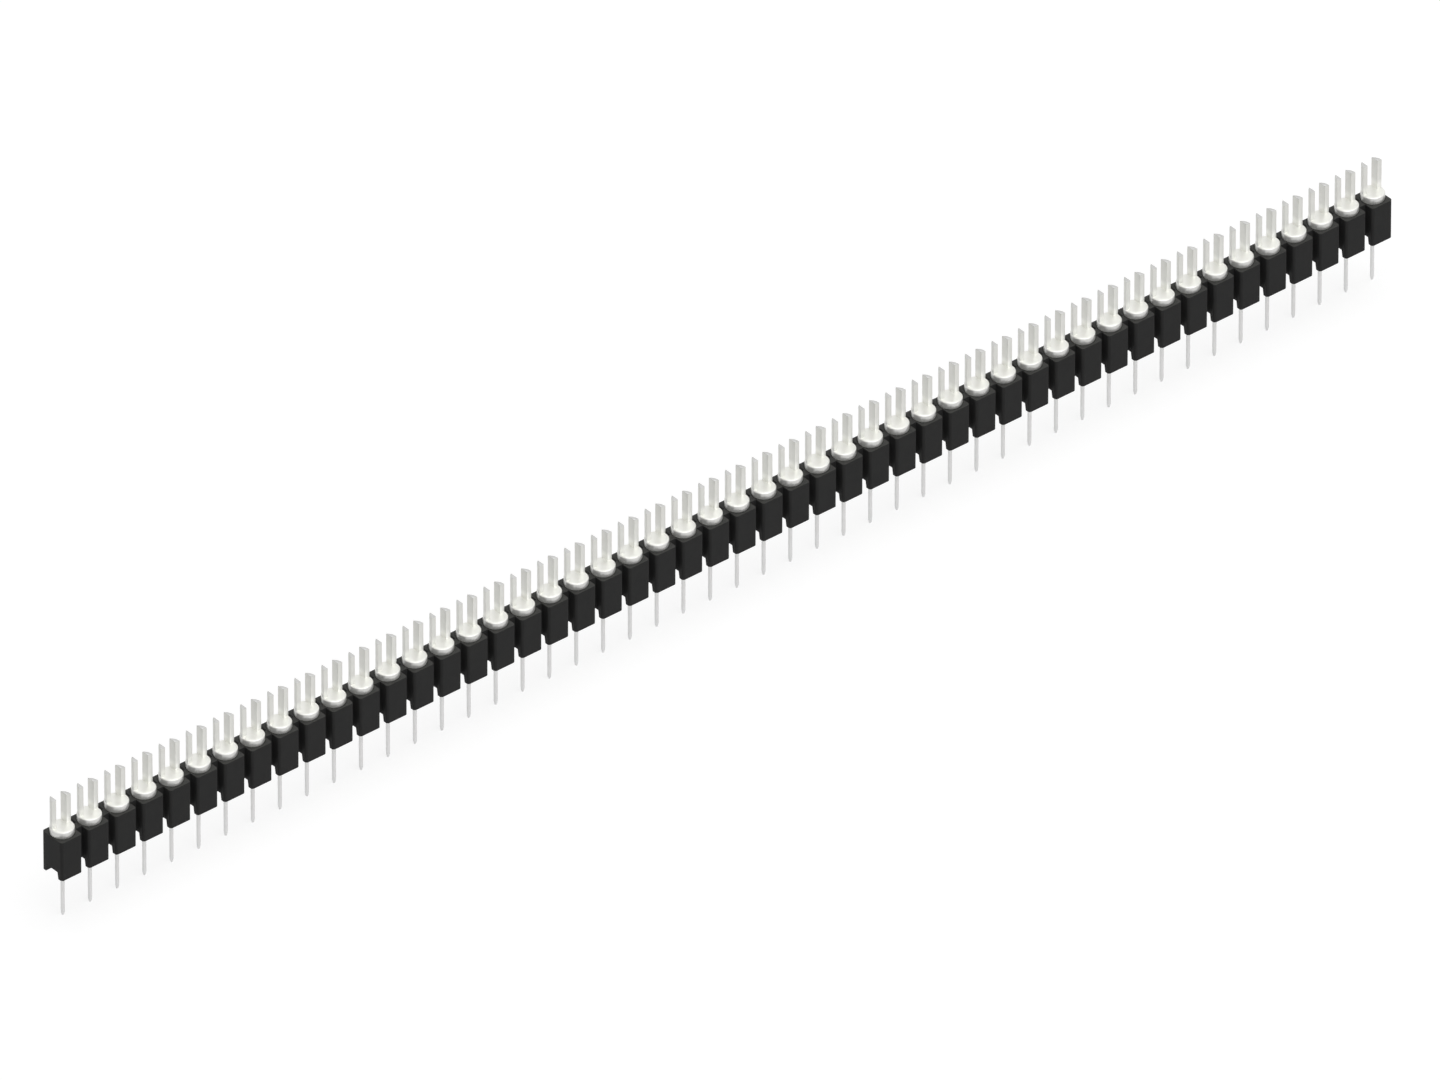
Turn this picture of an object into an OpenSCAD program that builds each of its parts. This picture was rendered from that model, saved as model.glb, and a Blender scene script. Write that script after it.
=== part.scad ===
// Single-row break-away pin header strip. Turned pins stand in a moulded insulator.
// Each pin has a thin tail below, a collar on top and a slotted solder fork above that.
// +X runs along the row, +Z is up and -Y is the front, where the forks are cut away.
// The origin is on the first pin's axis, in the plane that the insulator's feet stand on.

/* [Row] */
// Number of pins in the row
positions = 50; // [2:1:59]
// Distance from one pin's axis to the next
pitch = 2.54; // [2.4:0.01:4]

/* [Insulator] */
// Width of one block along the row
block_w = 1.93; // [1.8:0.01:2.3]
// Depth of the insulator from front to back
block_d = 2.24; // [1.9:0.01:3]
// Height of the insulator, feet included
block_h = 3.34; // [2.7:0.01:6]
// Radius of the blocks' upright edges
edge_r = 0.22; // [0.05:0.01:0.3]
// Thickness of the web that joins two blocks
web_t = 0.62; // [0.2:0.01:0.9]
// Thickness of the front and back feet where they stand
foot_t = 0.42; // [0.2:0.01:0.5]
// How much thicker the feet are at their tops, where the channel is narrower
foot_draft = 0.09; // [0.01:0.01:0.1]
// Height of the feet, which is the depth of the channel between them
foot_h = 0.58; // [0.2:0.01:1]
// Thickness of the floor under the pressed shank
floor_t = 0.6; // [0.3:0.01:1]

/* [Collar and shank] */
// Diameter of the collar
collar_d = 1.84; // [1.65:0.01:2.2]
// Thickness of the collar
collar_t = 0.58; // [0.4:0.01:1]
// Diameter of the collar's underside, which seats on the insulator
collar_seat_d = 1.76; // [1.45:0.01:1.8]
// Height of the bevel between the collar's seat and its straight side
collar_taper_h = 0.12; // [0.05:0.01:0.3]
// Width of the bevel round the collar's upper edge
collar_bevel = 0.06; // [0.01:0.01:0.1]
// Diameter of the shank inside the insulator
shank_d = 1.2; // [0.9:0.01:1.3]
// How far a barb stands out of the shank
barb_out = 0.06; // [0.02:0.01:0.12]
// Height of one barb
barb_h = 0.3; // [0.1:0.01:0.4]
// Distance from the collar down to the first barb
barb_drop = 0.4; // [0.1:0.01:0.6]
// Number of barbs
barbs = 2; // [1:1:2]
// Distance from one barb to the next
barb_step = 0.5; // [0.45:0.01:0.6]

/* [Fork] */
// Diameter of the round bar that the fork is cut from
fork_d = 1.76; // [1.3:0.01:1.9]
// Height of the fork above the collar
fork_h = 2.48; // [1:0.01:6]
// Width of the bevel round the end of the bar
fork_bevel = 0.05; // [0.01:0.01:0.1]
// Width of the wire slot between the tines
slot_w = 0.97; // [0.5:0.01:1]
// Distance from the pin's axis back to the flat front of the tines
fork_front = 0.05; // [0:0.01:0.2]

/* [Neck and tail] */
// Diameter of the neck, which passes through the floor and ends level with the feet
neck_d = 0.7; // [0.7:0.01:1]
// Diameter of the tail
tail_d = 0.3; // [0.25:0.01:0.38]
// Length of the tail below the feet
tail_len = 3.93; // [2:0.01:12]
// Length of the tail's tapered tip
tip_len = 0.3; // [0.1:0.01:0.6]
// Diameter of the tip's flat end
tip_d = 0.16; // [0.1:0.01:0.2]

/* [Fits] */
// Gap all round between a barb and its hole
barb_fit = 0.01; // [0.01:0.005:0.03]
// Gap all round between the neck and the hole in the floor
neck_fit = 0.04; // [0.02:0.01:0.1]
// Gap between the shank's end and the floor
shank_end_fit = 0.05; // [0.02:0.01:0.1]

/* [Hidden] */
function pin_name(i) = str("pin_", i < 10 ? "0" : "", i);

// Cutters pass this far beyond the face that they cut.
over = 0.1;
last_x = (positions - 1) * pitch;
body_top = block_h;
channel_w = block_d - 2 * foot_t;
channel_slope = foot_draft / foot_h;
floor_top = foot_h + floor_t;
shank_r = shank_d / 2;
barb_r = shank_r + barb_out;
shank_hole_r = barb_r + barb_fit;
shank_end = floor_top + shank_end_fit;
neck_r = neck_d / 2;
neck_hole_r = neck_r + neck_fit;
tail_r = tail_d / 2;
collar_r = collar_d / 2;
collar_top = body_top + collar_t;
fork_r = fork_d / 2;
fork_top = collar_top + fork_h;

$fn = 48;

// One block's outline, with its upright edges rounded.
module block_outline() {
    square([block_w, block_d - 2 * edge_r], center = true);
    square([block_w - 2 * edge_r, block_d], center = true);
    for (sx = [-1, 1], sy = [-1, 1])
        translate([sx * (block_w / 2 - edge_r), sy * (block_d / 2 - edge_r)])
            circle(r = edge_r);
}

// The thin web from one block's axis to the next, above the channel.
module web() {
    translate([0, -web_t / 2, foot_h])
        cube([pitch, web_t, body_top - foot_h]);
}

// The channel's outline across the strip, wider at the open underside than at its ceiling.
channel_outline = [
    [-channel_w / 2 - channel_slope * over, -over],
    [channel_w / 2 + channel_slope * over, -over],
    [channel_w / 2 - foot_draft, foot_h],
    [-channel_w / 2 + foot_draft, foot_h]
];

// The channel, which runs through the whole row between the front and the back feet.
module channel() {
    translate([-pitch, 0, 0])
        rotate([90, 0, 90])
            linear_extrude(height = last_x + 2 * pitch)
                polygon(channel_outline);
}

// The stepped hole of one pin: wide for the barbed shank, narrow for the neck.
module pin_hole() {
    translate([0, 0, floor_top])
        cylinder(r = shank_hole_r, h = body_top - floor_top + over);
    translate([0, 0, foot_h - over])
        cylinder(r = neck_hole_r, h = floor_t + 2 * over);
}

// The moulded strip: a row of blocks on webs, with a channel along its underside.
module insulator() {
    color([0.17, 0.17, 0.17])
        difference() {
            union() {
                for (i = [0:positions - 1])
                    translate([i * pitch, 0, 0])
                        linear_extrude(height = block_h)
                            block_outline();
                for (i = [0:positions - 2])
                    translate([i * pitch, 0, 0])
                        web();
            }
            channel();
            for (i = [0:positions - 1])
                translate([i * pitch, 0, 0])
                    pin_hole();
        }
}

// One barb's outline: a square shoulder above a taper that leads into the hole.
function barb_outline(top) = [
    [shank_r, top],
    [barb_r, top],
    [shank_r, top - barb_h]
];

// Half of the turned pin's outline, from the end of the fork's bar down to the tail's tip.
turned_outline = concat(
    [
        [0, fork_top],
        [fork_r - fork_bevel, fork_top],
        [fork_r, fork_top - fork_bevel],
        [fork_r, collar_top],
        [collar_r - collar_bevel, collar_top],
        [collar_r, collar_top - collar_bevel],
        [collar_r, body_top + collar_taper_h],
        [collar_seat_d / 2, body_top],
        [shank_r, body_top]
    ],
    [for (k = [0:barbs - 1]) each barb_outline(body_top - barb_drop - k * barb_step)],
    [
        [shank_r, shank_end],
        [neck_r, shank_end],
        [neck_r, 0],
        [tail_r, 0],
        [tail_r, -tail_len + tip_len],
        [tip_d / 2, -tail_len],
        [0, -tail_len]
    ]
);

// What the fork's bar loses: the wire slot, and everything in front of the tines.
module fork_cuts() {
    translate([-slot_w / 2, -fork_d, collar_top])
        cube([slot_w, 2 * fork_d, fork_h + over]);
    translate([-fork_d, fork_front - 2 * fork_d, collar_top])
        cube([2 * fork_d, 2 * fork_d, fork_h + over]);
}

// One turned pin on the origin's axis, with its fork cut down to the collar.
module pin() {
    color([0.85, 0.84, 0.80])
        difference() {
            rotate_extrude()
                polygon(turned_outline);
            fork_cuts();
        }
}

insulator();
for (i = [1:positions])
    translate([(i - 1) * pitch, 0, 0]) pin();
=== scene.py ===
"""Looks of the pin header strip: finishes, rounded edges, light, floor and camera."""

import math

import bpy
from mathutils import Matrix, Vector


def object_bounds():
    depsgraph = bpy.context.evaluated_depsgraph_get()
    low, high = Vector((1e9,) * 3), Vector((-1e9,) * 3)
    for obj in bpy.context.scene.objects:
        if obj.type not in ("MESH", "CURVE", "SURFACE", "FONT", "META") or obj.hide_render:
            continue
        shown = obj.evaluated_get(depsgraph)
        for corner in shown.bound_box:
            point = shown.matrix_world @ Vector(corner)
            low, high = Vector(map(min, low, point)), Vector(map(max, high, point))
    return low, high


MM = 0.001

# The view: turned from the strip's front, and raised above the horizon.
VIEW_TURN = math.radians(-40)
VIEW_RISE = math.radians(35.26)
# The lens and its sensor, in the camera's own millimetres.
LENS = 1200
SENSOR = 36
# How wide the frame is at the strip, and where it aims: above the plane of the feet, and
# across from the middle of the row.
FRAME_WIDTH = 104.8 * MM
AIM_RISE = 0.852 * MM
AIM_SHIFT = -0.256 * MM
CLIP_NEAR = 0.1
CLIP_FAR = 20

# How strongly the surroundings light the part, and how white the camera and gloss see them.
AMBIENT = 0.26
WHITE = 1.0
# The floor's own colour, and what the camera sees added to it.
FLOOR_TONE = 0.35
FLOOR_LIFT = 0.75
FLOOR_ROUGHNESS = 0.9
FLOOR_SIZE = 3.0

# The plating's colour up the pin, by height in mm, with painted light and shade in it: the
# tail painted lighter than the tines to make up for the block's shade, the collar's side
# painted darker below its top, a painted reflection of the collar's top on the tines' root,
# the tines, and their cut ends.
PLATING_AND_PAINTED_LIGHT = (
    (-3.9, (0.92, 0.92, 0.92)),
    (0.0, (0.92, 0.92, 0.91)),
    (3.34, (0.90, 0.90, 0.87)),
    (3.6, (0.78, 0.78, 0.76)),
    (3.85, (0.78, 0.78, 0.76)),
    (3.9, (0.91, 0.91, 0.87)),
    (4.3, (0.96, 0.96, 0.92)),
    (4.7, (0.79, 0.79, 0.755)),
    (6.35, (0.79, 0.79, 0.755)),
    (6.39, (0.62, 0.62, 0.61)),
)

# The noises of the finishes: features per metre, detail and roughness.
PLASTIC_CLOUD = (900, 3, 0.5)
PLASTIC_GRAIN = (16000, 4, 0.65)
METAL_MOTTLE = (1500, 4, 0.5)
METAL_GRAIN = (24000, 3, 0.6)
# The turning rings' features per metre by axis, coarse across the pin and fine along it,
# and the noise that is laid over that scaled coordinate.
RING_SCALE = (300, 300, 9000)
METAL_RINGS = (1, 3, 0.6)

# The band of a noise over which a tone goes from its first colour to its second.
TONE_BAND = (0.3, 0.7)
PLASTIC_SIDE = ((0.025, 0.025, 0.025), (0.031, 0.031, 0.0305))
# Painted light: upward faces are painted lighter than the sides, standing in for the overhead
# light.
PLASTIC_PAINTED_TOP_LIGHT = ((0.047, 0.047, 0.045), (0.059, 0.059, 0.056))
METAL_CLOUD = ((0.95, 0.95, 0.94), (1.0, 1.0, 1.0))
# The painted top light on the plastic starts on faces whose normal has this much of +Z, and is
# full at 1.
PAINTED_TOP_LIGHT_START = 0.6

# The shaders' roughness where the noise is 0 and where it is 1.
PLASTIC_ROUGHNESS = (0.46, 0.62)
METAL_ROUGHNESS = (0.28, 0.42)
# How much the plastic shines, and how metallic the plating is.
PLASTIC_SHINE = 0.08
METALLIC = 0.5

# The bumps' distance and strength.
GRAIN_BUMP = (0.02 * MM, 0.8)
RING_BUMP = (0.01 * MM, 0.7)
TIN_BUMP = (0.003 * MM, 0.5)

# How round the edges are: the moulded plastic's and the turned metal's.
PLASTIC_EDGE = 0.035 * MM
METAL_EDGE = 0.025 * MM
EDGE_SEGMENTS = 2
# Edges that turn by more than this are rounded.
SHARP_ANGLE = math.radians(40)
# Vertices closer than this are made one before the edges are rounded.
WELD_GAP = 0.0005 * MM

# Each lamp's name, direction from the part, distance and size in metres, and power in watts.
LAMPS = (
    ("top", (0.15, -0.12, 0.97), 1.2, 1.6, 11),
    ("front", (-0.35, -0.9, 0.3), 1.2, 1.0, 4.5),
)


def new_material(name):
    """A material with an empty principled shader, its node tree and that shader."""
    material = bpy.data.materials.new(name)
    material.use_nodes = True
    tree = material.node_tree
    return material, tree, tree.nodes["Principled BSDF"]


def node(tree, kind, **inputs):
    """Adds a shader node and sets its named input values."""
    made = tree.nodes.new(kind)
    for key, value in inputs.items():
        made.inputs[key.replace("_", " ")].default_value = value
    return made


def noise(tree, vector, scale, detail, roughness):
    """Noise over a coordinate, with scale in features per metre."""
    made = node(tree, "ShaderNodeTexNoise", Scale=scale, Detail=detail, Roughness=roughness)
    tree.links.new(vector, made.inputs["Vector"])
    return made.outputs["Fac"]


def ramp(tree, value, *stops):
    """A colour ramp over a value, as (place, colour) stops."""
    made = tree.nodes.new("ShaderNodeValToRGB")
    elements = made.color_ramp.elements
    elements[0].position, elements[0].color = stops[0][0], (*stops[0][1], 1)
    elements[1].position, elements[1].color = stops[-1][0], (*stops[-1][1], 1)
    for place, colour in stops[1:-1]:
        elements.new(place).color = (*colour, 1)
    tree.links.new(value, made.inputs["Fac"])
    return made.outputs["Color"]


def spread(tree, value, source=(0, 1), target=(0, 1)):
    """A value mapped from one pair of limits to another, and kept within the second."""
    made = tree.nodes.new("ShaderNodeMapRange")
    made.inputs["From Min"].default_value, made.inputs["From Max"].default_value = source
    made.inputs["To Min"].default_value, made.inputs["To Max"].default_value = target
    tree.links.new(value, made.inputs["Value"])
    return made.outputs["Result"]


def up_part(tree, vector):
    """The Z part of a vector output."""
    made = tree.nodes.new("ShaderNodeSeparateXYZ")
    tree.links.new(vector, made.inputs[0])
    return made.outputs["Z"]


def bump(tree, height, distance, strength, normal=None):
    """Bump of a height over a distance in metres."""
    made = node(tree, "ShaderNodeBump", Strength=strength, Distance=distance)
    tree.links.new(height, made.inputs["Height"])
    if normal is not None:
        tree.links.new(normal, made.inputs["Normal"])
    return made.outputs["Normal"]


def mixed(tree, amount, first, second, blend="MIX"):
    """Two colour outputs blended by an amount, which is a number or a 0 to 1 output."""
    made = tree.nodes.new("ShaderNodeMix")
    made.data_type = "RGBA"
    made.blend_type = blend
    if isinstance(amount, (int, float)):
        made.inputs["Factor"].default_value = amount
    else:
        tree.links.new(amount, made.inputs["Factor"])
    sockets = [socket for socket in made.inputs if socket.type == "RGBA"]
    for colour, socket in zip((first, second), sockets):
        tree.links.new(colour, socket)
    return [socket for socket in made.outputs if socket.type == "RGBA"][0]


def moulded_plastic():
    """Black thermoplastic: fine grain, cloudy in tone and gloss, with painted light making
    upward faces lighter.
    """
    material, tree, shader = new_material("moulded_plastic")
    coordinate = tree.nodes.new("ShaderNodeTexCoord")
    place = coordinate.outputs["Object"]
    cloud = noise(tree, place, *PLASTIC_CLOUD)
    grain = noise(tree, place, *PLASTIC_GRAIN)
    sides = ramp(tree, cloud, *zip(TONE_BAND, PLASTIC_SIDE))
    # Painted light: the lighter tone for upward faces.
    painted_lit_tops = ramp(tree, cloud, *zip(TONE_BAND, PLASTIC_PAINTED_TOP_LIGHT))
    upward = up_part(tree, coordinate.outputs["Normal"])
    # Painted light: how much of the upward faces' lighter tone each face gets, by its normal's
    # Z.
    painted_top_light_share = spread(tree, upward, source=(PAINTED_TOP_LIGHT_START, 1))
    tree.links.new(mixed(tree, painted_top_light_share, sides, painted_lit_tops), shader.inputs["Base Color"])
    gloss = spread(tree, cloud, target=PLASTIC_ROUGHNESS)
    tree.links.new(gloss, shader.inputs["Roughness"])
    tree.links.new(bump(tree, grain, *GRAIN_BUMP), shader.inputs["Normal"])
    shader.inputs["Specular IOR Level"].default_value = PLASTIC_SHINE
    return material


def tinned_metal(low, top):
    """Tin-plated brass: satin, mottled, with turning rings, and toned by height with painted
    light and shade.

    The part reaches from low to top, in metres.
    """
    material, tree, shader = new_material("tinned_metal")
    place = tree.nodes.new("ShaderNodeTexCoord").outputs["Object"]
    mottle = noise(tree, place, *METAL_MOTTLE)
    squeeze = node(tree, "ShaderNodeMapping", Scale=RING_SCALE)
    tree.links.new(place, squeeze.inputs["Vector"])
    rings = noise(tree, squeeze.outputs["Vector"], *METAL_RINGS)
    grain = noise(tree, place, *METAL_GRAIN)
    along = spread(tree, up_part(tree, place), source=(low, top))
    stops = [((z * MM - low) / (top - low), colour) for z, colour in PLATING_AND_PAINTED_LIGHT]
    # Painted light and shade by height: a lighter tail, a darker collar side and a painted
    # reflection on the tines' root.
    plating_and_painted_light = ramp(tree, along, *stops)
    cloud = ramp(tree, mottle, *zip(TONE_BAND, METAL_CLOUD))
    tree.links.new(mixed(tree, 1.0, plating_and_painted_light, cloud, "MULTIPLY"), shader.inputs["Base Color"])
    gloss = spread(tree, mottle, target=METAL_ROUGHNESS)
    tree.links.new(gloss, shader.inputs["Roughness"])
    turned = bump(tree, rings, *RING_BUMP)
    tree.links.new(bump(tree, grain, *TIN_BUMP, turned), shader.inputs["Normal"])
    shader.inputs["Metallic"].default_value = METALLIC
    return material


def finish_part(part, material, edge):
    """Gives a CAD part its material and rounds its sharp edges."""
    part.data.materials.clear()
    part.data.materials.append(material)
    weld = part.modifiers.new("weld", "WELD")
    weld.merge_threshold = WELD_GAP
    soft = part.modifiers.new("soft_edges", "BEVEL")
    soft.width = edge
    soft.segments = EDGE_SEGMENTS
    soft.limit_method = "ANGLE"
    soft.angle_limit = SHARP_ANGLE
    part.modifiers.new("normals", "WEIGHTED_NORMAL")


def add_camera(low, high):
    """A long lens from far off, so that the row's steps look equal from end to end."""
    back = Vector((
        math.sin(VIEW_TURN) * math.cos(VIEW_RISE),
        -math.cos(VIEW_TURN) * math.cos(VIEW_RISE),
        math.sin(VIEW_RISE),
    ))
    across = Vector((math.cos(VIEW_TURN), math.sin(VIEW_TURN), 0))
    aim = Vector(((low.x + high.x) / 2, 0, AIM_RISE)) + across * AIM_SHIFT
    lens = bpy.data.cameras.new("camera")
    lens.lens, lens.sensor_width = LENS, SENSOR
    lens.clip_start, lens.clip_end = CLIP_NEAR, CLIP_FAR
    camera = bpy.data.objects.new("camera", lens)
    camera.location = aim + back * (FRAME_WIDTH * LENS / SENSOR)
    camera.rotation_mode = "QUATERNION"
    camera.rotation_quaternion = (-back).to_track_quat("-Z", "Y")
    bpy.context.scene.collection.objects.link(camera)
    bpy.context.scene.camera = camera


def add_lamp(name, towards, distance, size, power, aim):
    """A square soft light that stands in one direction from the part and faces it."""
    lamp = bpy.data.lights.new(name, "AREA")
    lamp.shape, lamp.size, lamp.energy = "SQUARE", size, power
    holder = bpy.data.objects.new(name, lamp)
    way = Vector(towards).normalized()
    holder.location = aim + way * distance
    holder.rotation_mode = "QUATERNION"
    holder.rotation_quaternion = (-way).to_track_quat("-Z", "Y")
    bpy.context.scene.collection.objects.link(holder)


def seen_directly(tree):
    """1 for rays from the camera, mirrored rays and rays through glass, 0 for diffuse light."""
    path = tree.nodes.new("ShaderNodeLightPath")
    total = None
    for kind in ("Is Camera Ray", "Is Glossy Ray", "Is Transmission Ray"):
        if total is None:
            total = path.outputs[kind]
            continue
        most = tree.nodes.new("ShaderNodeMath")
        most.operation = "MAXIMUM"
        tree.links.new(total, most.inputs[0])
        tree.links.new(path.outputs[kind], most.inputs[1])
        total = most.outputs[0]
    return total


def add_world():
    """Even ambient light, which shows as plain white to the camera and in reflections."""
    world = bpy.data.worlds.new("world")
    world.use_nodes = True
    tree = world.node_tree
    tree.nodes.clear()
    out = tree.nodes.new("ShaderNodeOutputWorld")
    dim = node(tree, "ShaderNodeBackground", Color=(1, 1, 1, 1), Strength=AMBIENT)
    white = node(tree, "ShaderNodeBackground", Color=(1, 1, 1, 1), Strength=WHITE)
    mix = tree.nodes.new("ShaderNodeMixShader")
    tree.links.new(seen_directly(tree), mix.inputs[0])
    tree.links.new(dim.outputs[0], mix.inputs[1])
    tree.links.new(white.outputs[0], mix.inputs[2])
    tree.links.new(mix.outputs[0], out.inputs[0])
    bpy.context.scene.world = world


def add_floor(height):
    """A pale floor under the tails' tips: white to the camera, with the part's soft shadow."""
    bpy.ops.mesh.primitive_plane_add(size=FLOOR_SIZE, location=(0, 0, height))
    floor = bpy.context.object
    floor.name = "floor"
    material, tree, shader = new_material("pale_floor")
    shader.inputs["Base Color"].default_value = (FLOOR_TONE, FLOOR_TONE, FLOOR_TONE, 1)
    shader.inputs["Roughness"].default_value = FLOOR_ROUGHNESS
    shader.inputs["Specular IOR Level"].default_value = 0.0
    lift = node(tree, "ShaderNodeEmission", Color=(1, 1, 1, 1))
    amount = tree.nodes.new("ShaderNodeMath")
    amount.operation = "MULTIPLY"
    amount.inputs[1].default_value = FLOOR_LIFT
    tree.links.new(seen_directly(tree), amount.inputs[0])
    tree.links.new(amount.outputs[0], lift.inputs["Strength"])
    both = tree.nodes.new("ShaderNodeAddShader")
    tree.links.new(shader.outputs[0], both.inputs[0])
    tree.links.new(lift.outputs[0], both.inputs[1])
    tree.links.new(both.outputs[0], tree.nodes["Material Output"].inputs["Surface"])
    floor.data.materials.append(material)


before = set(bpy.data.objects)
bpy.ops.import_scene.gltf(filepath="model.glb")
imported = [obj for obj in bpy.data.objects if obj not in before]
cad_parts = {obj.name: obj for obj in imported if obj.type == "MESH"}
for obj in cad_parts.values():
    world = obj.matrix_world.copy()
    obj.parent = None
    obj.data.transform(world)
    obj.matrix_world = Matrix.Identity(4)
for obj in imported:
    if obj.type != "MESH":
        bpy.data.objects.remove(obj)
cad_low, cad_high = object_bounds()
bpy.context.scene.view_settings.view_transform = "Standard"

plastic = moulded_plastic()
metal = tinned_metal(cad_low.z, cad_high.z)
for name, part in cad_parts.items():
    if name == "insulator":
        finish_part(part, plastic, PLASTIC_EDGE)
    else:
        finish_part(part, metal, METAL_EDGE)

middle = (cad_low + cad_high) / 2
add_camera(cad_low, cad_high)
add_world()
for lamp_name, way, distance, size, power in LAMPS:
    add_lamp(lamp_name, way, distance, size, power, middle)
add_floor(cad_low.z)
